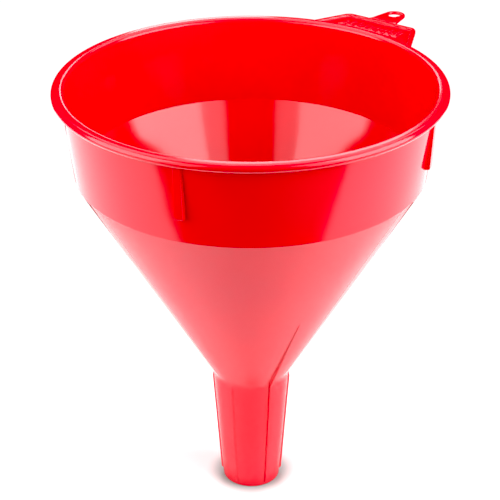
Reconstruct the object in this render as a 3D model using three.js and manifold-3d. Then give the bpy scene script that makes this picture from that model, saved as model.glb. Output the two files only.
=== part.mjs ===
// Two-quart utility funnel: a deep bowl with a turned-out lip, a long cone and a ribbed spout,
// with a hang tab on the lip and a brass strainer that drops into the throat.
// Millimetres, +Z up, origin on the funnel's axis at the spout's tip.
// The moulding is divided at its own corner lines, so that each region is a separate solid.
import * as THREE from 'three';
import { mergeVertices } from 'three/addons/utils/BufferGeometryUtils.js';
import Module from 'manifold-3d';

// ---- driving dimensions ----
const MOUTH_DIAMETER = 203;     // across the lip: an 8 inch mouth
const HEIGHT = 244.4;           // spout tip to lip crest
const WALL = 2.1;               // moulded wall, measured level
const BAND_TOP_RADIUS = 97.3;   // bowl's upright band, carried up to the crest's height
const BAND_FOOT_RADIUS = 92.1;  // where the band meets the cone
const BAND_FOOT_Z = 197.4;
const THROAT_RADIUS = 21.2;     // where the cone meets the spout
const THROAT_Z = 71.9;
const TIP_RADIUS = 16.2;        // spout tube at its tip
const TIP_EASE = 0.6;           // chamfer round the tip's two edges
const GAP = 0.3;                // clearance between neighbouring solids

const LIP_ROLL_RISE = 2.3;      // lip's widest part up to its flat crest
const LIP_ROLL_RUN = 2.4;       // flat crest out to the widest part, and the rounding under it
const LIP_CREST_WIDTH = 1.7;    // the flat crest
const LIP_FILLET = 0.9;         // between the lip's underside and the band
const LIP_ROOT_Z = 235;         // where the lip region meets the band

const RIB_COUNT = 6;            // air ribs round the spout, the long fin among them
const FIN_ANGLE = -69.5;        // degrees from +X, the long fin
const RIB_HEIGHT = 0.8;
const RIB_THICKNESS = 1.1;
const RIB_FOOT_Z = 2.0;
const FIN_HEIGHT = 1.5;         // the fin's height above the cone, next to the throat
const FIN_SHOULDER = 4;         // the fin turns this far above the throat
const FIN_TOP_RADIUS = 52.5;    // the fin fades into the cone here

const LUG_COUNT = 4;            // stacking lugs, which keep nested funnels from jamming
const LUG_ANGLE = 61;           // degrees from +X, the first lug
const LUG_WIDTH = 4.8;
const LUG_FOOT_Z = 210.8;
const LUG_FOOT_PROUD = 2.6;     // how far a lug's foot stands off the band
const LUG_TOP_PROUD = 0.9;
const LUG_TOE = 0.9;            // chamfer under the foot
const LUG_TOP_GAP = 1.2;        // lip's underside down to a lug's top

const TAB_ANGLE = 45;           // degrees from +X
const TAB_TOP_Z = 240.5;
const TAB_THICKNESS = 2.4;
const TAB_ROOT_HALF = 39;       // half-width where the tab leaves the lip
const TAB_END_HALF = 22.2;      // half-width at the outer corners
const TAB_END_REACH = 127;      // axis to the tab's outer edge
const TAB_CORNER = 3.6;         // how far the rounding of an outer corner runs
const TAB_BORDER = 2.6;         // width of the raised border
const TAB_RECESS = 0.7;         // depth of the panel inside the border
const EYELET_REACH = 140;       // axis to the hang hole's centre
const EYELET_RADIUS = 6.1;
const HANG_HOLE_RADIUS = 3.9;
const EYELET_THICKNESS = 1.8;   // level with the tab's top face
const EYELET_NECK_HALF = 8.1;   // half-width of the neck, next to its fillets
const EYELET_FILLET = 2.2;

const STRAINER_SEAT_Z = 77.6;   // underside of the strainer ring
const STRAINER_DEPTH = 4.5;
const STRAINER_SHEET = 0.9;     // thickness of the ring's rolled brass
const GAUZE_LEDGE = 2.4;        // ledge that carries the gauze
const GAUZE_THICKNESS = 0.6;

// ---- resolution ----
const ROUND_STEPS = 96;         // facets round the axis
const SMALL_STEPS = 64;
const ARC_STEPS = 5;            // facets in a small rounded edge
const CURVE_STEPS = 8;

// ---- worked-out sizes ----
const LIP_RADIUS = MOUTH_DIAMETER / 2;
const LIP_WIDEST_Z = HEIGHT - LIP_ROLL_RISE;
const LIP_FOOT_Z = LIP_WIDEST_Z - LIP_ROLL_RUN;
const CONE_SLOPE = (BAND_FOOT_RADIUS - THROAT_RADIUS) / (BAND_FOOT_Z - THROAT_Z);
const SPOUT_SLOPE = (THROAT_RADIUS - TIP_RADIUS) / THROAT_Z;
const BAND_SLOPE = (BAND_TOP_RADIUS - BAND_FOOT_RADIUS) / (HEIGHT - BAND_FOOT_Z);

const RED = '#f5080c';
const BRASS = '#c79a45';

const wasm = await Module();
wasm.setup();

// ---- small helpers ----
const radians = (degrees) => THREE.MathUtils.degToRad(degrees);
const point = (x, y) => new THREE.Vector2(x, y);
const bandRadius = (z) => BAND_FOOT_RADIUS + BAND_SLOPE * (z - BAND_FOOT_Z);
const coneRadius = (z) => THROAT_RADIUS + CONE_SLOPE * (z - THROAT_Z);
const coneZ = (radius) => THROAT_Z + (radius - THROAT_RADIUS) / CONE_SLOPE;
const spoutRadius = (z) => TIP_RADIUS + SPOUT_SLOPE * z;

// Points on an arc between two angles in degrees, ends included. It is round unless height is given.
function arc(centre, radius, from, to, steps = ARC_STEPS, height = radius) {
  return Array.from({ length: steps + 1 }, (_, i) => {
    const angle = radians(from + (to - from) * i / steps);
    return point(centre.x + radius * Math.cos(angle), centre.y + height * Math.sin(angle));
  });
}

// A ring turned about +Z from a section of (radius, z) points in anticlockwise order.
function ring(section, steps = ROUND_STEPS) {
  const lathe = new THREE.LatheGeometry([...section, section[0].clone()], steps);
  lathe.rotateX(Math.PI / 2);
  return lathe;
}

// A plate with its outline in a level plane, from floorZ up.
function plate(outline, thickness, floorZ, holes = []) {
  const shape = new THREE.Shape(outline);
  holes.forEach((hole) => shape.holes.push(new THREE.Path(hole)));
  const solid = new THREE.ExtrudeGeometry(shape, { depth: thickness, bevelEnabled: false });
  solid.translate(0, 0, floorZ);
  return solid;
}

// A thin blade standing in a plane through the axis, from an outline of (radius, z) points.
function blade(outline, thickness, angle) {
  const shape = new THREE.Shape(outline);
  const solid = new THREE.ExtrudeGeometry(shape, { depth: thickness, bevelEnabled: false });
  solid.translate(0, 0, -thickness / 2);
  solid.rotateX(Math.PI / 2);
  solid.rotateZ(radians(angle));
  return solid;
}

function toSolid(geometry) {
  const bare = geometry.clone();
  bare.deleteAttribute('normal');
  bare.deleteAttribute('uv');
  const merged = mergeVertices(bare, 1e-4);
  const vertProperties = new Float32Array(merged.attributes.position.array);
  const triVerts = new Uint32Array(merged.index.array);
  return new wasm.Manifold(new wasm.Mesh({ numProp: 3, vertProperties, triVerts }));
}

function toGeometry(solid) {
  const mesh = solid.getMesh();
  const geometry = new THREE.BufferGeometry();
  geometry.setAttribute('position', new THREE.BufferAttribute(mesh.vertProperties, 3));
  geometry.setIndex(new THREE.BufferAttribute(mesh.triVerts, 1));
  return geometry;
}

// ---- the moulding's round regions ----

// The lip is a bead that stands out from the band: a narrow flat crest, an oval shoulder and a round underside.
function lipGeometry() {
  const crestOuter = LIP_RADIUS - LIP_ROLL_RUN;
  const crestInner = crestOuter - LIP_CREST_WIDTH;
  const innerRound = crestInner - (bandRadius(HEIGHT) - WALL);
  const middle = point(crestOuter, LIP_WIDEST_Z);
  const fillet = point(bandRadius(LIP_FOOT_Z) + LIP_FILLET, LIP_FOOT_Z - LIP_FILLET);
  return ring([
    point(bandRadius(LIP_ROOT_Z) - WALL, LIP_ROOT_Z),
    point(bandRadius(LIP_ROOT_Z), LIP_ROOT_Z),
    ...arc(fillet, LIP_FILLET, 180, 90),
    ...arc(middle, LIP_ROLL_RUN, -90, 0, CURVE_STEPS).slice(0, -1),
    ...arc(middle, LIP_ROLL_RUN, 0, 90, CURVE_STEPS, LIP_ROLL_RISE),
    ...arc(point(crestInner, HEIGHT - innerRound), innerRound, 90, 180),
  ]);
}

function bandGeometry() {
  const footZ = BAND_FOOT_Z + GAP / 2;
  const topZ = LIP_ROOT_Z - GAP;
  return ring([
    point(bandRadius(footZ) - WALL, footZ),
    point(bandRadius(footZ), footZ),
    point(bandRadius(topZ), topZ),
    point(bandRadius(topZ) - WALL, topZ),
  ]);
}

function coneGeometry() {
  const footZ = THROAT_Z + GAP / 2;
  const topZ = BAND_FOOT_Z - GAP / 2;
  return ring([
    point(coneRadius(footZ) - WALL, footZ),
    point(coneRadius(footZ), footZ),
    point(coneRadius(topZ), topZ),
    point(coneRadius(topZ) - WALL, topZ),
  ]);
}

function spoutGeometry() {
  const topZ = THROAT_Z - GAP / 2;
  return ring([
    point(TIP_RADIUS - WALL + TIP_EASE, 0),
    point(TIP_RADIUS - TIP_EASE, 0),
    point(spoutRadius(TIP_EASE), TIP_EASE),
    point(spoutRadius(topZ), topZ),
    point(spoutRadius(topZ) - WALL, topZ),
    point(spoutRadius(TIP_EASE) - WALL, TIP_EASE),
  ], SMALL_STEPS);
}

// ---- air ribs: they hold the spout off a filler neck so that air can leave ----

function ribGeometry(angle) {
  const topZ = THROAT_Z - RIB_HEIGHT;
  return blade([
    point(spoutRadius(RIB_FOOT_Z) + GAP, RIB_FOOT_Z),
    point(spoutRadius(RIB_FOOT_Z + RIB_HEIGHT) + RIB_HEIGHT, RIB_FOOT_Z + RIB_HEIGHT),
    point(spoutRadius(topZ) + RIB_HEIGHT, topZ),
    point(spoutRadius(topZ) + GAP, topZ),
  ], RIB_THICKNESS, angle);
}

// The long fin runs up the spout, turns at the throat and fades out on the cone.
function finGeometry() {
  const coneGap = GAP * 1.25;
  const shoulderZ = THROAT_Z + FIN_SHOULDER;
  return blade([
    point(spoutRadius(RIB_FOOT_Z) + GAP, RIB_FOOT_Z),
    point(spoutRadius(RIB_FOOT_Z + RIB_HEIGHT) + RIB_HEIGHT, RIB_FOOT_Z + RIB_HEIGHT),
    point(THROAT_RADIUS + FIN_HEIGHT, THROAT_Z - FIN_HEIGHT * 2),
    point(coneRadius(shoulderZ) + FIN_HEIGHT, shoulderZ),
    point(FIN_TOP_RADIUS + 2 * GAP, coneZ(FIN_TOP_RADIUS)),
    point(FIN_TOP_RADIUS + coneGap, coneZ(FIN_TOP_RADIUS)),
    point(THROAT_RADIUS + coneGap, THROAT_Z),
  ], RIB_THICKNESS, FIN_ANGLE);
}

// ---- stacking lugs ----

// A wedge under the lip whose outer face hangs nearly plumb while the band tapers in behind it.
function lugGeometry(angle) {
  const topZ = LIP_FOOT_Z - LUG_TOP_GAP;
  return blade([
    point(bandRadius(LUG_FOOT_Z) + GAP, LUG_FOOT_Z),
    point(bandRadius(LUG_FOOT_Z) + LUG_FOOT_PROUD - LUG_TOE, LUG_FOOT_Z),
    point(bandRadius(LUG_FOOT_Z) + LUG_FOOT_PROUD, LUG_FOOT_Z + LUG_TOE),
    point(bandRadius(topZ) + LUG_TOP_PROUD, topZ),
    point(bandRadius(topZ) + GAP, topZ),
  ], LUG_WIDTH, angle);
}

// ---- hang tab, drawn with the lip behind it and its outer edge towards +X ----

// Half of a tab outline, drawn in by inset all round: a straight flank from the lip to a rounded corner.
function tabSide(inset) {
  const root = LIP_RADIUS + GAP + inset;
  const flankRun = TAB_END_REACH - Math.sqrt(root * root - TAB_ROOT_HALF * TAB_ROOT_HALF);
  const flankSlope = (TAB_ROOT_HALF - TAB_END_HALF) / flankRun;
  const flankInset = inset * Math.hypot(1, flankSlope);
  const rootHalf = TAB_ROOT_HALF - 2 * flankInset;
  const start = point(Math.sqrt(root * root - rootHalf * rootHalf), rootHalf);
  const endReach = TAB_END_REACH - inset;
  const corner = point(endReach, TAB_END_HALF - flankInset);
  const cornerRun = TAB_CORNER - inset / 2;
  const before = point(endReach - cornerRun, corner.y + cornerRun * flankSlope);
  const after = point(endReach, corner.y - cornerRun);
  return [start, ...new THREE.QuadraticBezierCurve(before, corner, after).getPoints(ARC_STEPS)];
}

function tabOutline(inset) {
  const upper = tabSide(inset);
  const lower = upper.map((p) => point(p.x, -p.y)).reverse();
  const root = LIP_RADIUS + GAP + inset;
  const halfAngle = THREE.MathUtils.radToDeg(Math.atan2(upper[0].y, upper[0].x));
  const lipSide = arc(point(0, 0), root, -halfAngle, halfAngle, CURVE_STEPS * 2).slice(1, -1);
  return [...lipSide, ...upper, ...lower].reverse();
}

function tabGeometry() {
  const floorZ = TAB_TOP_Z - TAB_THICKNESS;
  const body = toSolid(plate(tabOutline(0), TAB_THICKNESS, floorZ));
  const panel = toSolid(plate(tabOutline(TAB_BORDER), TAB_THICKNESS, TAB_TOP_Z - TAB_RECESS));
  return toGeometry(body.subtract(panel)).rotateZ(radians(TAB_ANGLE));
}

// The eyelet's ring stands on a straight-sided neck that flares into the tab's outer edge.
function eyeletGeometry() {
  const rootReach = TAB_END_REACH + GAP;
  const neck = point(rootReach + EYELET_FILLET, EYELET_NECK_HALF);
  const toNeck = Math.hypot(EYELET_REACH - neck.x, neck.y);
  const neckAngle = Math.atan2(neck.y, neck.x - EYELET_REACH) - Math.acos(EYELET_RADIUS / toNeck);
  const leave = THREE.MathUtils.radToDeg(neckAngle);
  const head = arc(point(EYELET_REACH, 0), EYELET_RADIUS, leave, -leave, SMALL_STEPS / 2);
  const flare = new THREE.QuadraticBezierCurve(
    point(rootReach, EYELET_NECK_HALF + EYELET_FILLET),
    point(rootReach, EYELET_NECK_HALF),
    neck,
  ).getPoints(ARC_STEPS);
  const lower = flare.map((p) => point(p.x, -p.y)).reverse();
  const hole = arc(point(EYELET_REACH, 0), HANG_HOLE_RADIUS, 0, 360, SMALL_STEPS / 2).slice(0, -1);
  const floorZ = TAB_TOP_Z - EYELET_THICKNESS;
  return plate([...flare, ...head, ...lower], EYELET_THICKNESS, floorZ, [hole]).rotateZ(radians(TAB_ANGLE));
}

// ---- strainer: a rolled brass ring that wedges in the cone, with gauze on its ledge ----

function strainerRingGeometry() {
  const clearance = GAP * 1.2;
  const outer = (z) => coneRadius(z) - WALL - clearance;
  const topZ = STRAINER_SEAT_Z + STRAINER_DEPTH;
  const ledgeZ = STRAINER_SEAT_Z + STRAINER_SHEET;
  const sheet = STRAINER_SHEET * 1.15;
  return ring([
    point(outer(STRAINER_SEAT_Z) - GAUZE_LEDGE, STRAINER_SEAT_Z),
    point(outer(STRAINER_SEAT_Z), STRAINER_SEAT_Z),
    point(outer(topZ), topZ),
    point(outer(topZ) - sheet, topZ),
    point(outer(ledgeZ) - sheet, ledgeZ),
    point(outer(STRAINER_SEAT_Z) - GAUZE_LEDGE, ledgeZ),
  ], SMALL_STEPS);
}

function gauzeGeometry() {
  const floorZ = STRAINER_SEAT_Z + STRAINER_SHEET + GAP;
  const radius = coneRadius(floorZ) - WALL - STRAINER_SHEET * 1.15 - 3 * GAP;
  const disc = new THREE.CylinderGeometry(radius, radius, GAUZE_THICKNESS, SMALL_STEPS);
  disc.rotateX(Math.PI / 2);
  disc.translate(0, 0, floorZ + GAUZE_THICKNESS / 2);
  return disc;
}

// ---- assembly ----

const funnel = new THREE.Group();

function add(name, geometry, color, roughness = 0.2, metalness = 0) {
  const material = new THREE.MeshStandardMaterial({ color, roughness, metalness });
  const mesh = new THREE.Mesh(geometry, material);
  mesh.name = name;
  funnel.add(mesh);
}

add('rim_lip', lipGeometry(), RED);
add('bowl_band', bandGeometry(), RED);
add('cone_wall', coneGeometry(), RED);
add('spout_tube', spoutGeometry(), RED);
add('vent_fin', finGeometry(), RED);
for (let i = 1; i < RIB_COUNT; i += 1) {
  add(`vent_rib_${i}`, ribGeometry(FIN_ANGLE + i * 360 / RIB_COUNT), RED);
}
for (let i = 0; i < LUG_COUNT; i += 1) {
  add(`stacking_lug_${i + 1}`, lugGeometry(LUG_ANGLE + i * 360 / LUG_COUNT), RED);
}
add('hang_tab', tabGeometry(), RED);
add('hang_eyelet', eyeletGeometry(), RED);
add('strainer_ring', strainerRingGeometry(), BRASS, 0.35, 1);
add('strainer_gauze', gauzeGeometry(), BRASS, 0.45, 1);

export default funnel;
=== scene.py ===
# %% [markdown]
# # A two-quart utility funnel
# The real funnel is one glossy red moulding: a lip, an upright band, a long cone and a ribbed spout, with a
# hang tab on the lip. A brass strainer drops into its throat. Each region is its own piece here, on the body
# that the frame gives it. Lengths are metres, and the axis of the funnel is the Z axis.

# %% Load the frame
import math

import bpy
import numpy as np
from mathutils import Matrix, Vector


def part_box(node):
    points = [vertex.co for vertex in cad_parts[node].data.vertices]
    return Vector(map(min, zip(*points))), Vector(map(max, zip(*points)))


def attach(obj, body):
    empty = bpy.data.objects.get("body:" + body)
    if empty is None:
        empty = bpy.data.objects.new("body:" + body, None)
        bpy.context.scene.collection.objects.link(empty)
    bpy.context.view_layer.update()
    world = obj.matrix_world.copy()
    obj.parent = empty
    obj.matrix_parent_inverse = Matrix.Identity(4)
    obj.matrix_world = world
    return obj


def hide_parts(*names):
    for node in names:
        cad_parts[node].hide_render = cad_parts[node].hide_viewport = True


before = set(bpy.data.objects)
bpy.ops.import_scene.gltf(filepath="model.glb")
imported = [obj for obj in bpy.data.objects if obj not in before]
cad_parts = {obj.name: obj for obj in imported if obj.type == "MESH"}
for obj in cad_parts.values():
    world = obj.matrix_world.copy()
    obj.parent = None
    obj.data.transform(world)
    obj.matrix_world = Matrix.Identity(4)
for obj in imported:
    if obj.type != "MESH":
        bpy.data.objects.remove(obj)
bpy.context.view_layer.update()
MM = 0.001

# %% [markdown]
# ## What the frame fixes
# The frame already knows how wide and high each region is. Reading those sizes from its nodes, instead of
# typing them again, keeps every surface below in step with the part that is simulated.

# %% Measure the frame


def corners(node):
    """A node's corners as rows of x, y and z."""
    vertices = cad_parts[node].data.vertices
    flat = np.empty(3 * len(vertices), np.float32)
    vertices.foreach_get("co", flat)
    return flat.reshape(-1, 3).astype(float)


def radius_near(node, height, slack=0.25 * MM):
    """The largest distance from the axis among the corners that lie within a slack of a height."""
    x, y, z = corners(node).T
    return float(np.hypot(x, y)[abs(z - height) < slack].max())


def heading(node):
    """The angle round the axis, in radians from +X, of the middle of a node's box."""
    low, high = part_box(node)
    return math.atan2(low.y + high.y, low.x + high.x)


def height_between(lower, upper):
    """The height of the joint between two nodes that stand on each other."""
    return (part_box(lower)[1].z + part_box(upper)[0].z) / 2


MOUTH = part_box("rim_lip")[1].x
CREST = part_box("rim_lip")[1].z
CREASE = height_between("cone_wall", "bowl_band")
THROAT = height_between("spout_tube", "cone_wall")
CREASE_RADIUS = radius_near("bowl_band", CREASE)
THROAT_RADIUS = radius_near("cone_wall", THROAT)
TIP_RADIUS = radius_near("spout_tube", 0.6 * MM)
BAND_TOP_RADIUS = radius_near("bowl_band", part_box("bowl_band")[1].z)
BAND_SLOPE = (BAND_TOP_RADIUS - CREASE_RADIUS) / (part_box("bowl_band")[1].z - CREASE)
WALL = 2.1 * MM
print(f"mouth {2e3 * MOUTH:.0f} mm, height {1e3 * CREST:.1f} mm, throat {2e3 * THROAT_RADIUS:.1f} mm")

# %% [markdown]
# ## Outlines with eased corners
# A moulding has no knife edges: each corner is a small arc. An outline could be drawn with every arc's
# points typed in. Here it is a few corners with one radius each, and the arcs are worked out for all of them
# at once. A short straight lead on each side of an arc keeps the long flat stretches from picking up its
# shading.

# %% Ease the corners of an outline
LEAD = 0.12 * MM


def eased(points, radii, closed=True, steps=7):
    """An outline with an arc in each corner. The arc's centre lies on the corner's bisector, the radius over
    the sine of half the corner's angle away, and the arc turns evenly from one tangent point to the other. A
    radius of nought leaves the corner sharp."""
    points = np.asarray(points, float)
    radius = np.asarray(radii, float)[:, None]
    back = np.roll(points, 1, 0) - points
    onward = np.roll(points, -1, 0) - points
    back /= np.linalg.norm(back, axis=1, keepdims=True)
    onward /= np.linalg.norm(onward, axis=1, keepdims=True)
    half = 0.5 * np.arccos(np.clip((back * onward).sum(1, keepdims=True), -1, 1))
    bisector = back + onward
    bisector /= np.linalg.norm(bisector, axis=1, keepdims=True)
    centre = points + bisector * radius / np.sin(half)
    run = radius / np.tan(half)
    start, end = points + back * run, points + onward * run
    first = np.arctan2(*(start - centre).T[::-1])
    last = np.arctan2(*(end - centre).T[::-1])
    turn = (last - first + np.pi) % (2 * np.pi) - np.pi
    angle = first[:, None] + turn[:, None] * np.linspace(0, 1, steps + 1)
    arc = centre[:, None] + radius[:, None] * np.stack([np.cos(angle), np.sin(angle)], -1)
    row = np.concatenate([(start + back * LEAD)[:, None], arc, (end + onward * LEAD)[:, None]], 1)
    if not closed:
        row[0], row[-1] = points[0], points[-1]
    line = row.reshape(-1, 2)
    step = np.linalg.norm(line - np.roll(line, 1, 0), axis=1)
    return line[step > 1e-7]


print("a square with eased corners has", len(eased([(0, 0), (1, 0), (1, 1), (0, 1)], [0.1] * 4)), "points")

# %% [markdown]
# ## The wall's two faces
# From the tip to the lip the moulding is one wall of even thickness. Its outer face is a line of four
# corners: the tip, the throat, the crease under the band, and the top. The throat is a generous curve,
# because liquid has to run round it, and the crease is a tight one. The inner face is the same line, one
# wall nearer the axis.

# %% Work out the wall
THROAT_CURVE = 14 * MM
CREASE_CURVE = 1.2 * MM
top_radius = CREASE_RADIUS + BAND_SLOPE * (CREST - CREASE)
outer_corners = np.array(
    [(TIP_RADIUS, 0), (THROAT_RADIUS, THROAT), (CREASE_RADIUS, CREASE), (top_radius, CREST)])
OUTER = eased(outer_corners, [0, THROAT_CURVE, CREASE_CURVE, 0], closed=False)
INNER = eased(outer_corners - (WALL, 0), [0, THROAT_CURVE, CREASE_CURVE, 0], closed=False)


def stretch(line, low, high):
    """The part of a wall line between two heights. Both ends are found by interpolating along the line."""
    inside = line[(line[:, 1] > low) & (line[:, 1] < high)]
    ends = np.interp([low, high], line[:, 1], line[:, 0])
    return np.vstack([[ends[0], low], inside, [ends[1], high]])


def on_wall(height):
    """The outer face's radius at some heights, and the radial and upward parts of its outward normal."""
    radius = np.interp(height, OUTER[:, 1], OUTER[:, 0])
    nudge = 0.3 * MM
    above, below = (np.interp(height + d, OUTER[:, 1], OUTER[:, 0]) for d in (nudge, -nudge))
    slope = (above - below) / (2 * nudge)
    return radius, 1 / np.hypot(1, slope), -slope / np.hypot(1, slope)


print("points up the outer face:", len(OUTER))

# %% [markdown]
# ## From grids to meshes
# Every piece is a grid of points worked out in one go. A turned piece is an outline carried round the axis,
# and its grid closes on itself both ways. A slab is two grids over the same rows and columns, an upper and a
# lower one, with a strip of faces round their border. Both come out closed, with their faces pointing
# outwards.

# %% Grids, skins and slabs


def turned(outline, facets=384):
    """An outline of radius and height carried round the axis: x is radius times cosine, y is radius times
    sine."""
    angle = np.linspace(0, 2 * np.pi, facets, endpoint=False)
    radius, height = outline.T
    x, y = np.outer(radius, np.cos(angle)), np.outer(radius, np.sin(angle))
    return np.stack([x, y, np.outer(height, np.ones(facets))], -1)


def quads(rows, columns, wrap_rows=False, wrap_columns=False):
    """Four-sided faces between neighbouring points of a grid whose points are numbered row by row."""
    row = np.arange(rows if wrap_rows else rows - 1)[:, None]
    column = np.arange(columns if wrap_columns else columns - 1)[None]
    next_row, next_column = (row + 1) % rows, (column + 1) % columns
    here, beside = row * columns + column, row * columns + next_column
    over, beside_over = next_row * columns + column, next_row * columns + next_column
    return np.stack([here, beside, beside_over, over], -1).reshape(-1, 4)


def skin(grid):
    """The points and faces of a grid that closes on itself along its rows and along its columns."""
    return grid.reshape(-1, 3), quads(*grid.shape[:2], wrap_rows=True, wrap_columns=True)


def slab(upper, lower):
    """The points and faces of the solid between two grids: both skins, and a strip along the border."""
    rows, columns = upper.shape[:2]
    number = np.arange(rows * columns).reshape(rows, columns)
    border = np.concatenate([number[0, :-1], number[:-1, -1], number[-1, :0:-1], number[:0:-1, 0]])
    following = np.roll(border, -1)
    top = quads(rows, columns)
    under = top[:, ::-1] + rows * columns
    strip = np.stack([following, border, border + rows * columns, following + rows * columns], -1)
    points = np.concatenate([upper.reshape(-1, 3), lower.reshape(-1, 3)])
    return points, np.concatenate([top, under, strip])


def piece(name, shape, material, node, body, slot, sharp=32):
    """One finished piece: smooth, except where neighbouring faces meet at more than `sharp` degrees."""
    points, faces = shape
    mesh = bpy.data.meshes.new(name)
    mesh.from_pydata(points.tolist(), [], faces.tolist())
    mesh.validate()
    mesh.shade_smooth()
    mesh.set_sharp_from_angle(angle=math.radians(sharp))
    mesh.materials.append(material)
    made = bpy.data.objects.new(name, mesh)
    bpy.context.scene.collection.objects.link(made)
    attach(made, body)
    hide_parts(node)
    return made


def smooth(value):
    """A smooth step: nought below 0, one above 1, and 3t^2 - 2t^3 between."""
    t = np.clip(value, 0, 1)
    return t * t * (3 - 2 * t)


print("a turned outline of 40 points has", len(skin(turned(np.zeros((40, 2))))[1]), "faces")

# %% [markdown]
# ## Shader maths as expressions
# A finish is a small sum over the surface: so much waviness, so much grain, a scuff where a hand goes.
# Blender adds such sums with Math nodes, which are slow to read. A thin wrapper round a socket lets them be
# written as expressions, and one method adds every other kind of node.

# %% Wrap the shader sockets


class Value:
    """One output in a finish. Arithmetic on it adds Math nodes to the same finish."""

    def __init__(self, finish, socket):
        self.finish, self.socket = finish, socket

    def maths(self, operation, *values):
        sockets = dict(enumerate(values))
        return self.finish.node("ShaderNodeMath", {"operation": operation}, sockets)

    def __add__(self, other):
        return self.maths("ADD", self, other)

    __radd__ = __add__

    def __rsub__(self, other):
        return self.maths("SUBTRACT", other, self)

    def __mul__(self, other):
        return self.maths("MULTIPLY", self, other)

    __rmul__ = __mul__

    def sine(self):
        return self.maths("SINE", self)

    def between(self, low, high):
        """Nought at `low`, one at `high`, and a smooth step between."""
        return self.finish.node(
            "ShaderNodeMapRange", {"interpolation_type": "SMOOTHSTEP"},
            {"Value": self, "From Min": low, "From Max": high})


class Finish:
    """A material under construction, with its Principled shader."""

    def __init__(self, name):
        self.material = bpy.data.materials.new(name)
        self.material.use_nodes = True
        self.tree = self.material.node_tree
        self.shader = self.tree.nodes["Principled BSDF"]

    def node(self, kind, settings=None, sockets=None, output=0):
        """Adds a node: its settings first, and then its sockets."""
        made = self.tree.nodes.new(kind)
        for name, value in (settings or {}).items():
            setattr(made, name, value)
        for key, value in (sockets or {}).items():
            self.feed(made.inputs[key], value)
        return Value(self, made.outputs[output])

    def feed(self, socket, value):
        """Links a value to a socket, or sets the socket to a plain number or colour."""
        if isinstance(value, Value):
            self.tree.links.new(value.socket, socket)
        else:
            socket.default_value = value

    def set(self, **sockets):
        """Feeds the shader's sockets; an underscore stands for a space in a socket's name."""
        for name, value in sockets.items():
            self.feed(self.shader.inputs[name.replace("_", " ")], value)
        return self.material

    def place(self):
        """The point on the surface, in the funnel's own frame."""
        return self.node("ShaderNodeTexCoord", output="Object")

    def axes(self, point):
        """A point's x, y and z as three values."""
        made = self.node("ShaderNodeSeparateXYZ", sockets={"Vector": point})
        return tuple(Value(self, socket) for socket in made.socket.node.outputs)

    def noise(self, point, scale, detail=2.0, output="Fac", **sockets):
        """Soft noise of about `scale` spots to the metre, round its middle value of a half."""
        return self.node(
            "ShaderNodeTexNoise", sockets={"Vector": point, "Scale": scale, "Detail": detail, **sockets},
            output=output)

    def stretched(self, point, x=1.0, y=1.0, z=1.0):
        """A point scaled along each axis, so that a pattern read there is drawn out or squeezed."""
        return self.node("ShaderNodeVectorMath", {"operation": "MULTIPLY"}, {0: point, 1: (x, y, z)})

    def mix(self, share, first, second):
        """A colour between two others."""
        return self.node(
            "ShaderNodeMix", {"data_type": "RGBA"}, {"Factor": share, 6: first, 7: second}, output=2)

    def bump(self, height, strength=1.0):
        """A normal from a height in metres."""
        return self.node(
            "ShaderNodeBump", sockets={"Strength": strength, "Distance": 1.0, "Height": height})


print("shader helpers ready")

# %% [markdown]
# ## Red polyethylene
# The moulding is saturated red polyethylene with a bright gloss. A flat colour with a low roughness would
# look like paint. The real surface has four things more: slow waves where the wall cooled unevenly, a very
# fine peel, faint rings left by the polishing of a turned mould, and scuffs on the edges that get handled.
# The waves bend the reflections, and the rest is only seen from close by.

# %% Finish the polyethylene
RED = (0.77, 0.0, 0.016, 1)
DEEP_RED = (0.71, 0.0, 0.020, 1)
SCUFFED_RED = (0.90, 0.035, 0.035, 1)


def polyethylene(name, gloss=0.12, wave=0.4 * MM, rings=True):
    """Glossy red plastic. The colour drifts slowly between two reds. The height is a slow wave, plus a fine
    peel, plus rings that repeat with height. Roughness is the gloss, plus a patchy haze, plus the scuffs."""
    red = Finish(name)
    point = red.place()
    x, y, z = red.axes(point)
    drift = red.noise(point, 14, 1).between(0.35, 0.65)
    haze = red.noise(point, 60, 3)
    slow = red.noise(point, 20, 1)
    peel = red.noise(point, 900, 1)
    scratch = red.noise(red.stretched(point, 1.0, 1.0, 0.12), 1400, 2).between(0.66, 0.74)
    worn_lip = z.between(CREST - 1.2 * MM, CREST - 0.2 * MM)
    worn_tip = 1 - z.between(0.3 * MM, 1.5 * MM)
    scuff = scratch * (worn_lip + worn_tip)
    height = slow * wave + peel * (0.0010 * MM)
    if rings:
        height = height + (z * (2 * math.pi / (0.55 * MM))).sine() * (0.00012 * MM)
    colour = red.mix(scuff * 0.5, red.mix(drift, RED, DEEP_RED), SCUFFED_RED)
    dullness = haze * 0.05 + (gloss - 0.025) + scuff * 0.25
    return red.set(Base_Color=colour, Roughness=dullness, IOR=1.5, Normal=red.bump(height))


wall_red = polyethylene("red_polyethylene_wall")
detail_red = polyethylene("red_polyethylene_details", gloss=0.09, wave=0.02 * MM, rings=False)
print("finishes:", wall_red.name, detail_red.name)

# %% [markdown]
# ## Spout, cone and band
# The spout is a plain tapered tube with eased edges at its tip. The cone piece takes in the curve at the
# throat, and the band piece the curve at the crease, so every joint falls on a straight stretch where both
# sides have the same normal and no line shows.

# %% Turn the spout, the cone and the band
SPOUT_TOP = THROAT - 4.0 * MM
CONE_TOP = CREASE - 1.0 * MM
BAND_TOP = height_between("bowl_band", "rim_lip")
TIP_EASE = 0.6 * MM


def wall_ring(low, high):
    """The outline of the wall between two heights: up the outer face and down the inner one."""
    return np.vstack([stretch(OUTER, low, high), stretch(INNER, low, high)[::-1]])


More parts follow.
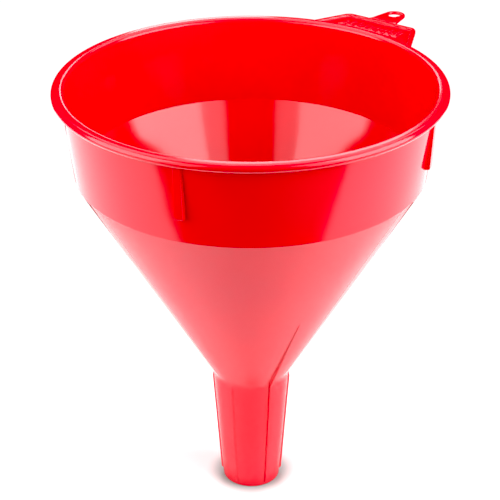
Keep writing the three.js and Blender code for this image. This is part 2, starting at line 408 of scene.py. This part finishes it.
spout_foot, spout_top = stretch(OUTER, 0, SPOUT_TOP)[[0, -1]]
spout_outline = eased(
    [spout_foot - (WALL, 0), spout_foot, spout_top, spout_top - (WALL, 0)], [TIP_EASE, TIP_EASE, 0, 0])
on_funnel = {"body": "funnel", "slot": "red_polyethylene"}
piece("spout_tube_moulded", skin(turned(spout_outline)), wall_red, "spout_tube", **on_funnel)
piece("cone_wall_moulded", skin(turned(wall_ring(SPOUT_TOP, CONE_TOP))), wall_red, "cone_wall", **on_funnel)
piece("bowl_band_moulded", skin(turned(wall_ring(CONE_TOP, BAND_TOP))), wall_red, "bowl_band", **on_funnel)
print("wall pieces from the tip to", round(1e3 * BAND_TOP), "mm")

# %% [markdown]
# ## The lip
# The lip stiffens the mouth. It is a bead that stands out from the wall: a narrow flat crest, an oval
# shoulder, and a round underside that comes back to the band in a small fillet. A plain tube round the mouth
# would lose the flat crest, which catches the light as one even line. So the shoulder is a quarter of an
# ellipse, the underside is a quarter of a circle about the same centre, and the rest is eased corners.

# %% Turn the lip
ROLL_RUN, ROLL_RISE = 2.4 * MM, 2.3 * MM
CREST_FLAT = 1.7 * MM
LIP_FILLET = 0.9 * MM
crest_outer = MOUTH - ROLL_RUN
widest = CREST - ROLL_RISE
lip_foot = widest - ROLL_RUN
outer_foot = stretch(OUTER, BAND_TOP, lip_foot)[[0, -1]]
inner_foot = stretch(INNER, BAND_TOP, CREST)[[0, -1]]
underside = eased(
    [inner_foot[0], outer_foot[0], outer_foot[1], (crest_outer, lip_foot)], [0, 0, LIP_FILLET, 0], closed=False)
quarter = np.linspace(0, np.pi / 2, 16)
round_under = np.stack([crest_outer + ROLL_RUN * np.sin(quarter), widest - ROLL_RUN * np.cos(quarter)], -1)
shoulder = np.stack([crest_outer + ROLL_RUN * np.cos(quarter), widest + ROLL_RISE * np.sin(quarter)], -1)
mouth_ease = crest_outer - CREST_FLAT - inner_foot[1, 0]
crest = eased([(crest_outer, CREST), inner_foot[1], inner_foot[0]], [0, mouth_ease, 0], closed=False)
lip_outline = np.vstack([underside[:-1], round_under, shoulder[1:], crest[1:-1]])
piece("rim_lip_moulded", skin(turned(lip_outline)), wall_red, "rim_lip", **on_funnel)
print("lip outline:", len(lip_outline), "points")

# %% [markdown]
# ## Ridges on the wall
# The air ribs, the long fin and the stacking lugs are all ridges: a strip of the wall pushed out. They could
# be boxes joined on, but a moulded ridge has drafted flanks and runs out softly at its ends. So each is a
# slab over a patch of wall. Its height comes from how far a point is from the ridge's middle line and from
# its ends.

# %% Raise a ridge from the wall
BURIED = 0.6 * MM


def ridge(height, proud, flat, foot, angle):
    """A slab over a strip of wall. `height` is the rows' heights up the wall and `proud` how far each row
    stands out. Across a row the ridge is level within `flat` of its middle line and sinks to the wall at
    `foot` by a smooth step. A sideways distance becomes an angle when it is divided by the radius."""
    share = np.linspace(0, 1, 9)
    half = np.concatenate([foot + (flat - foot) * share, [flat / 2]])
    across = np.concatenate([-half, [0], half[::-1]])
    rise = proud[:, None] * smooth((foot - abs(across)) / (foot - flat))
    radius, out, up = (part[:, None] for part in on_wall(height))
    turn = angle + across / radius

    def lifted(lift):
        reach = radius + lift * out
        level = height[:, None] + lift * up
        return np.stack([reach * np.cos(turn), reach * np.sin(turn), level], -1)

    return slab(lifted(rise), lifted(np.full_like(rise, -BURIED)))


print("ridge helper ready")

# %% [markdown]
# ## Air ribs and fin
# Air has to leave a tank as liquid enters it, so ribs hold the spout off the filler neck. Five are low and
# soft. The sixth is a thin fin that carries on past the throat and fades out a third of the way up the cone.

# %% Raise the ribs and the fin
RIB_PROUD = 0.85 * MM
rib_foot, rib_top = 2.0 * MM, THROAT - 1.0 * MM
rib_rows = np.linspace(rib_foot, rib_top, 60)
rib_proud = RIB_PROUD * smooth((rib_rows - rib_foot) / (1.2 * MM)) * smooth((rib_top - rib_rows) / (5 * MM))
ribs = sorted(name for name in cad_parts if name.startswith("vent_rib"))
for name in ribs:
    rib = ridge(rib_rows, rib_proud, 0.35 * MM, 1.3 * MM, heading(name))
    piece(name + "_moulded", rib, detail_red, name, **on_funnel)

FIN_PROUD = 1.5 * MM
fin_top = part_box("vent_fin")[1].z
fin_rows = np.concatenate([
    np.linspace(rib_foot, THROAT - 3 * MM, 50), np.linspace(THROAT - 2.5 * MM, fin_top, 70)])
fin_proud = np.interp(
    fin_rows, [rib_foot, THROAT - 6 * MM, THROAT + 3 * MM, fin_top], [1.1 * MM, 1.2 * MM, FIN_PROUD, 0.35 * MM])
fin_proud *= smooth((fin_rows - rib_foot) / (1.2 * MM)) * smooth((fin_top - fin_rows) / (2 * MM))
fin = ridge(fin_rows, fin_proud, 0.3 * MM, 0.62 * MM, heading("vent_fin"))
piece("vent_fin_moulded", fin, detail_red, "vent_fin", **on_funnel)
print(len(ribs), "ribs and a fin up to", round(1e3 * fin_top), "mm")

# %% [markdown]
# ## Stacking lugs
# Nested funnels would wedge tight, so lugs under the lip stop each one on the lip of the next. A lug's face
# hangs nearly plumb while the band tapers in behind it, so it is proudest at its rounded foot.

# %% Raise the lugs
LUG_PROUD_FOOT, LUG_PROUD_TOP = 2.7 * MM, 0.8 * MM
LUG_TOE = 1.1 * MM
lug_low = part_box("stacking_lug_1")[0].z
lug_high = lip_foot + 0.5 * MM
lug_rows = np.concatenate([
    lug_low + 1.2 * MM * (1 - np.cos(np.linspace(0, np.pi / 2, 14))),
    np.linspace(lug_low + 1.9 * MM, lug_high, 30)])
toe = np.clip((lug_rows - lug_low) / LUG_TOE, 0, 1)
lug_proud = np.interp(lug_rows, [lug_low, lug_high], [LUG_PROUD_FOOT, LUG_PROUD_TOP])
lug_proud *= np.sqrt(1 - (1 - toe) ** 2)
lugs = sorted(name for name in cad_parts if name.startswith("stacking_lug"))
for name in lugs:
    lug = ridge(lug_rows, lug_proud, 1.9 * MM, 2.4 * MM, heading(name))
    piece(name + "_moulded", lug, detail_red, name, **on_funnel)
print(len(lugs), "lugs from", round(1e3 * lug_low), "mm up")

# %% [markdown]
# ## Hang tab
# The tab is a flat plate with straight flanks and rounded corners. A raised border runs round a sunk panel,
# and a row of plain raised bars on the panel gives the fingers some grip. It is a slab: the upper grid
# carries the border, the panel and the bars as heights, worked out from each point's distance to the nearest
# edge.

# %% Shape the tab
TAB_THICKNESS = 2.4 * MM
TAB_EASE = 0.6 * MM
BORDER, RECESS = 2.4 * MM, 0.8 * MM
STEP = 0.7 * MM
BAR_COUNT, BAR_PITCH, BAR_HALF, BAR_ROUND, BAR_PROUD = 8, 5.0 * MM, 3.4 * MM, 1.1 * MM, 0.6 * MM
tab_angle = heading("hang_tab")
tab_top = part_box("hang_tab")[1].z
tab_reach = float((corners("hang_tab")[:, :2] @ (math.cos(tab_angle), math.sin(tab_angle))).max())
tab_half = float(abs(corners("hang_tab")[:, :2] @ (-math.sin(tab_angle), math.cos(tab_angle))).max())
TAB_END_HALF = 22.4 * MM
CORNER = 3.6 * MM
FLARE, FLARE_LENGTH = 1.5 * MM, 7 * MM
tab_root = MOUTH - 2.6 * MM


def tab_width(reach):
    """Half the tab's width at a distance from the axis: straight flanks, a flare at the lip and a round
    corner."""
    start = math.sqrt(tab_root ** 2 - tab_half ** 2)
    flank = tab_half + (TAB_END_HALF - tab_half) * (reach - start) / (tab_reach - start)
    flare = FLARE * np.clip(1 - (reach - start) / FLARE_LENGTH, 0, 1) ** 2
    past = np.clip(reach - (tab_reach - CORNER), 0, CORNER)
    return flank + flare - (CORNER - np.sqrt(CORNER ** 2 - past ** 2))


def placed(reach, across, level, angle):
    """Points given along and across a direction that leaves the axis at an angle."""
    x = reach * math.cos(angle) - across * math.sin(angle)
    y = reach * math.sin(angle) + across * math.cos(angle)
    return np.stack(np.broadcast_arrays(x, y, level), -1)


def hang_tab():
    """The tab between its upper and its lower grid. Rows share out the width, and columns the way from the
    lip to the outer edge. The eased edge drops by r - sqrt(r^2 - (r - d)^2) where the distance d to the edge
    is under r."""
    even = np.linspace(-1, 1, 121)
    share = (even * (1.32 - 0.32 * even ** 2))[:, None]
    column = np.linspace(0, 1, 84)
    column = (column * (1.3 - 0.3 * column ** 2))[None]
    root = np.sqrt(tab_root ** 2 - (share * tab_half) ** 2)
    reach = root + column * (tab_reach - root)
    edge_reach = root[0] + column * (tab_reach - root[0])
    half = tab_width(edge_reach)
    across = share * half
    to_flank = (half - abs(across)) * math.cos(math.atan2(tab_half - TAB_END_HALF, tab_reach - root[0, 0]))
    to_edge = np.minimum(to_flank, tab_reach - reach)
    to_lip = np.hypot(reach, across) - MOUTH
    inside = np.clip(TAB_EASE - to_edge, 0, TAB_EASE)
    drop = TAB_EASE - np.sqrt(TAB_EASE ** 2 - inside ** 2)
    panel = smooth((np.minimum(to_edge, to_lip) - BORDER) / STEP)
    middle = (tab_reach + MOUTH) / 2 + 0.3 * MM
    slot_across = across / BAR_PITCH - 0.5 * (BAR_COUNT % 2 == 0)
    nearest = np.clip(np.round(slot_across), -BAR_COUNT // 2, BAR_COUNT // 2 - 1)
    beside = (slot_across - nearest) * BAR_PITCH
    along = np.clip(abs(reach - middle) - BAR_HALF, 0, None)
    bar = 1 - smooth((np.hypot(beside, along) - (BAR_ROUND - STEP / 2)) / STEP)
    upper = tab_top - drop - RECESS * panel + BAR_PROUD * bar * panel
    lower = tab_top - TAB_THICKNESS + drop
    return slab(placed(reach, across, upper, tab_angle), placed(reach, across, lower, tab_angle))


piece("hang_tab_moulded", hang_tab(), detail_red, "hang_tab", **on_funnel)
print(f"tab reaches {1e3 * tab_reach:.1f} mm from the axis")

# %% [markdown]
# ## Eyelet
# The eyelet is a flat ring on a short neck that flares into the tab. Its outer outline is a few eased
# corners and an arc, and its hole is a circle. One section runs from the outline over the top to the hole
# and back underneath, and it is carried round the hole, so neck and ring are one smooth piece.

# %% Shape the eyelet
EYELET_RADIUS, HOLE_RADIUS = 6.1 * MM, 3.9 * MM
NECK_HALF, NECK_FLARE = 8.2 * MM, 3.0 * MM
EYELET_THICKNESS, RING_EASE = 1.8 * MM, 0.7 * MM
eyelet_far = corners("hang_eyelet")[:, :2] @ (math.cos(tab_angle), math.sin(tab_angle))
eyelet_reach = float(eyelet_far.max()) - EYELET_RADIUS


def eyelet_outline():
    """The outline as offsets from the hole's centre, anticlockwise. The neck's straight side is the tangent
    to the ring from the neck's foot, so the arc stops where that tangent touches."""
    foot = np.array([tab_reach - eyelet_reach, NECK_HALF])
    leave = math.atan2(foot[1], foot[0]) - math.acos(EYELET_RADIUS / math.hypot(*foot))
    angle = np.linspace(-leave, leave, 49)
    ring = EYELET_RADIUS * np.stack([np.cos(angle), np.sin(angle)], -1)
    neck = foot + 0.1 * (ring[-1] - foot)
    buried = foot + (-1.0 * MM, 1.1 * MM)
    side = eased(np.array([ring[-1], neck, buried]), [0, NECK_FLARE, 0], closed=False)
    even = np.linspace(buried[1], -buried[1], 24)[1:-1]
    bottom = np.stack([np.full_like(even, buried[0]), even], -1)
    return np.vstack([ring, side[1:], bottom, side[:0:-1] * (1, -1)])


def hang_eyelet():
    """The section carried round the hole. Each section point lies an inset in from the outline, or out from
    the hole, on the line that joins an outline point to the hole's edge in the same direction."""
    outline = eyelet_outline()
    angle = np.arctan2(outline[:, 1], outline[:, 0])
    hole = HOLE_RADIUS * np.stack([np.cos(angle), np.sin(angle)], -1)
    inward = hole - outline
    inward /= np.linalg.norm(inward, axis=1, keepdims=True)
    turn = np.linspace(0, np.pi / 2, 8)
    inset = RING_EASE * (1 - np.cos(turn))
    fall = RING_EASE * (1 - np.sin(turn))
    top = tab_top - 0.05 * MM
    floor = top - EYELET_THICKNESS
    at_hole = np.repeat([0, 1, 1, 0], len(turn))[:, None, None]
    insets = np.concatenate([inset, inset[::-1], inset, inset[::-1]])[:, None, None]
    level = np.concatenate([top - fall, top - fall[::-1], floor + fall, floor + fall[::-1]])[:, None]
    flat = (1 - at_hole) * outline + at_hole * hole + (1 - 2 * at_hole) * insets * inward
    return skin(placed(eyelet_reach + flat[..., 0], flat[..., 1], level, tab_angle))


piece("hang_eyelet_moulded", hang_eyelet(), detail_red, "hang_eyelet", **on_funnel)
print(f"hang hole {2e3 * HOLE_RADIUS:.0f} mm across, {1e3 * eyelet_reach:.1f} mm from the axis")

# %% [markdown]
# ## Brass
# The strainer is rolled brass sheet with woven brass wire. Brass that has met fuel is duller in patches, so
# the tone and the roughness drift, and the sheet has the fine lines of rolling round it.

# %% Finish the brass


def brass(name, tone, dull_tone, roughness):
    """Metal whose colour and roughness drift together between a clean and a dull state, over very fine
    grain."""
    metal = Finish(name)
    point = metal.place()
    dull = metal.noise(point, 130, 3).between(0.4, 0.7)
    grain = metal.noise(metal.stretched(point, 1, 1, 7), 900, 2)
    return metal.set(
        Base_Color=metal.mix(dull, tone, dull_tone), Metallic=1.0,
        Roughness=dull * 0.15 + roughness + grain * 0.06, Normal=metal.bump(grain * (0.004 * MM)))


sheet_brass = brass("rolled_brass", (0.80, 0.56, 0.22, 1), (0.52, 0.34, 0.13, 1), 0.22)
wire_brass = brass("brass_wire", (0.74, 0.52, 0.22, 1), (0.46, 0.31, 0.13, 1), 0.3)
print("finishes:", sheet_brass.name, wire_brass.name)

# %% [markdown]
# ## Strainer
# The strainer's ring follows the cone, so it wedges there under its own weight. Its top edge is rolled into
# a bead and its foot is turned in to carry the gauze.

# %% Turn the ring
on_strainer = {"body": "strainer"}
seat, ring_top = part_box("strainer_ring")[0].z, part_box("strainer_ring")[1].z
gauze_low, gauze_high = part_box("strainer_gauze")[0].z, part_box("strainer_gauze")[1].z
SHEET, BEAD = 0.6 * MM, 1.7 * MM
FIT, LEDGE = 0.08 * MM, 2.4 * MM


def strainer_ring():
    """The ring's section, from the foot's inner edge round the outside to the bead and back down the
    inside."""
    def at(height):
        return float(np.interp(height, INNER[:, 1], INNER[:, 0])) - FIT

    bead_foot = ring_top - BEAD
    ledge = at(seat) - LEDGE
    section = [
        (ledge, seat), (at(seat), seat), (at(ring_top), ring_top), (at(ring_top) - BEAD, ring_top),
        (at(ring_top) - BEAD, bead_foot), (at(bead_foot) - SHEET, bead_foot),
        (at(gauze_low) - SHEET, gauze_low - 0.02 * MM), (ledge, gauze_low - 0.02 * MM)]
    ease = np.array([0.4, 0.6, 0.8, 0.8, 0.5, 0.1, 0.3, 0.4]) * MM
    return skin(turned(eased(section, ease), 192))


piece("strainer_ring_rolled", strainer_ring(), sheet_brass, "strainer_ring", slot="rolled_brass", **on_strainer)
print(f"ring seated {1e3 * seat:.1f} mm up")

# %% [markdown]
# ## Gauze
# The gauze is a plain weave. A flat disc with a wire pattern would show no gaps, so each wire is a thin tube
# that waves over and under the ones it crosses.

# %% Weave the gauze


def woven_gauze(pitch=1.1 * MM, wire=0.15 * MM):
    """Two sets of wires, square to each other. A wire's middle line is a sine of one pitch's half wave, up
    over one crossing wire and down under the next, and neighbours are half a wave out of step. A tube of six
    sides runs along it, and its ends are closed and nearly a point."""
    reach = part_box("strainer_gauze")[1].x
    middle = (gauze_low + gauze_high) / 2
    count = int(reach / pitch)
    offset = np.arange(-count, count + 1)[:, None] * pitch
    half = np.sqrt(np.clip(reach ** 2 - offset ** 2, (2 * pitch) ** 2, None))
    along = half * np.linspace(-1, 1, 4 * 2 * count + 1)
    phase = np.pi * (along / pitch + np.round(offset / pitch) + 0.5)
    sway = wire * np.sin(phase)
    thick = np.full(along.shape[1], wire)
    thick[[0, -1]] = wire * 0.05
    angle = np.linspace(0, 2 * np.pi, 6, endpoint=False)
    side = thick[:, None] * np.cos(angle)
    lift = thick[:, None] * np.sin(angle)
    line = np.broadcast_to(along[..., None], along.shape + angle.shape)
    beside = offset[..., None] + side
    points, faces, start = [], [], 0
    for swap in (False, True):
        level = middle + (-sway if swap else sway)[..., None] + lift
        grid = np.stack([beside, line, level] if swap else [line, beside, level], -1)
        wires, steps, sides = grid.shape[:3]
        loop = quads(steps, sides, wrap_columns=True)
        caps = np.array([[0, 1, 2, 3], [0, 3, 4, 5]])
        far = caps + (steps - 1) * sides
        one = np.concatenate([loop, caps[:, ::-1], far])
        one = one[:, ::-1] if swap else one
        every = one[None] + (np.arange(wires) * steps * sides)[:, None, None] + start
        points.append(grid.reshape(-1, 3))
        faces.append(every.reshape(-1, 4))
        start += wires * steps * sides
    return np.concatenate(points), np.concatenate(faces)


gauze = piece(
    "strainer_gauze_woven", woven_gauze(), wire_brass, "strainer_gauze", slot="brass_gauze", **on_strainer)
print("gauze faces:", len(gauze.data.polygons))

# %% [markdown]
# ## The camera
# A long lens a little above the rim shows the mouth, the outside and the hang tab at once. A short lens
# would make the mouth look too wide for the spout. The camera looks at a point on the axis, a bit over
# half-way up.

# %% Set the camera
AZIMUTH, ELEVATION, ROLL = math.radians(-8.5), math.radians(28.39), math.radians(-0.137)
DISTANCE = 808.7 * MM
LOOK_AT = Vector((0, 0, 146.4 * MM))
camera_data = bpy.data.cameras.new("camera")
camera_data.lens = 107.56
camera_data.sensor_width = 36
camera_data.shift_x, camera_data.shift_y = -0.0017, 0.001
camera = bpy.data.objects.new("camera", camera_data)
bpy.context.scene.collection.objects.link(camera)
back = Vector((
    math.sin(AZIMUTH) * math.cos(ELEVATION), -math.cos(AZIMUTH) * math.cos(ELEVATION), math.sin(ELEVATION)))
camera.location = LOOK_AT + DISTANCE * back
aim = back.to_track_quat("Z", "Y")
camera.rotation_euler = (aim.to_matrix() @ Matrix.Rotation(ROLL, 3, "Z")).to_euler()
bpy.context.scene.camera = camera
print("camera at", [round(value, 3) for value in camera.location])

# %% [markdown]
# ## The studio
# Gloss shows the room more than the object, so each light is placed for what it draws on the red. Two
# softboxes, each with a hotter core, make the pale patches inside the cone, and the gap between them is the
# deep red stripe. A light overhead and two small ones behind draw the lines on the lip. A pale table lights
# the cone from below. It stops short in front and behind, so the front of the band and the cone's outline
# stay deep, and two low cards light the band's ends. Close round the spout the table's colour is darker: a
# painted contact shadow, where a wide soft light would leave it in shade.

# %% Place the lights and the table
TURN = Matrix.Rotation(AZIMUTH, 3, "Z")
UP = Vector((0, 0, 1))
MIDDLE = Vector((0, 0, 150 * MM))


def studio(across, away, height):
    """A point given across, away from and above the funnel, as the camera sees it."""
    return TURN @ Vector((across, away, height))


def light(name, centre, towards, width, height, radiance):
    """A rectangular light of even brightness that faces a way. Its power is pi times its area times its
    radiance."""
    data = bpy.data.lights.new(name, "AREA")
    data.shape = "RECTANGLE"
    data.size, data.size_y = width, height
    data.energy = math.pi * width * height * radiance
    made = bpy.data.objects.new(name, data)
    made.location = centre
    made.rotation_euler = (TURN @ (TURN.inverted() @ -towards).to_track_quat("Z", "Y").to_matrix()).to_euler()
    made.visible_camera = False
    bpy.context.scene.collection.objects.link(made)


def swung(swing, rise, distance):
    """A point at a distance from the funnel's middle, swung sideways from the camera and raised, both in
    degrees."""
    swing, rise = math.radians(swing), math.radians(rise)
    level = distance * math.cos(rise)
    return MIDDLE + studio(level * math.sin(swing), -level * math.cos(swing), distance * math.sin(rise))


CARD_HEIGHT = 4 * MM
for name, side, glow, core in (("left", -1, 2.0, 3.2), ("right", 1, 2.6, 4.0)):
    wide, hot = swung(side * 61, 22, 0.62), swung(side * 69, 24, 0.60)
    light("softbox_" + name, wide, MIDDLE - wide, 0.78, 0.68, glow)
    light("softbox_core_" + name, hot, MIDDLE - hot, 0.50, 0.60, core)
    light("low_card_" + name, studio(side * 0.40, 0.107, CARD_HEIGHT), UP, 0.40, 0.685, 2.1)
overhead = studio(0, 0.20, 0.78)
light("overhead", overhead, MIDDLE - overhead, 1.0, 0.6, 2.5)
for name, swing, rise, width in (("behind_high", 176, 33, 0.26), ("behind_low", 184, 23, 0.16)):
    behind = swung(swing, rise, 0.90)
    light(name, behind, MIDDLE - behind, width, 0.16, 3.8)

TABLE_SIDE = 0.27
TABLE_EDGE = [(0.10, -0.21), (TABLE_SIDE, -0.04), (TABLE_SIDE, 0.26)]
table_mesh = bpy.data.meshes.new("pale_table")
table_corners = [studio(x, y, 0) for x, y in TABLE_EDGE] + [studio(-x, y, 0) for x, y in TABLE_EDGE[::-1]]
table_mesh.from_pydata(table_corners, [], [tuple(range(len(table_corners)))])
table = bpy.data.objects.new("pale_table", table_mesh)
bpy.context.scene.collection.objects.link(table)
print("lights:", [lamp.name for lamp in bpy.data.lights])

# Painted contact shadow: the table's colour darkens from pale to a grey-cyan shade towards the spout.
SHADE_INNER, SHADE_OUTER = 15 * MM, 27 * MM
SHADED, PALE = (0.30, 0.38, 0.37, 1), (0.92, 0.92, 0.92, 1)
pale = Finish("pale_table_top")
from_axis = pale.node("ShaderNodeVectorMath", {"operation": "LENGTH"}, {0: pale.place()}, output=1)
shade = pale.mix(from_axis.between(SHADE_INNER, SHADE_OUTER), SHADED, PALE)
table_mesh.materials.append(pale.set(Base_Color=shade, Roughness=0.3, IOR=1.4))

# %% [markdown]
# ## The white room and the tone
# The room is white behind the funnel but isn't reflected in it, so the gloss keeps its deep parts. A raised
# black level in green and blue takes the last trace of both out of the red where it is in shade.

# %% Set the room and the tone
world = bpy.data.worlds.new("white_room")
world.use_nodes = True
backdrop = world.node_tree.nodes["Background"].inputs
backdrop["Color"].default_value = (1, 1, 1, 1)
backdrop["Strength"].default_value = 1.05
world.cycles_visibility.glossy = False
world.cycles_visibility.diffuse = False
bpy.context.scene.world = world
view = bpy.context.scene.view_settings
view.view_transform = "Standard"
view.use_curve_mapping = True
view.curve_mapping.black_level = (0, 0.022, 0.022)
view.curve_mapping.update()
print("view:", view.view_transform)
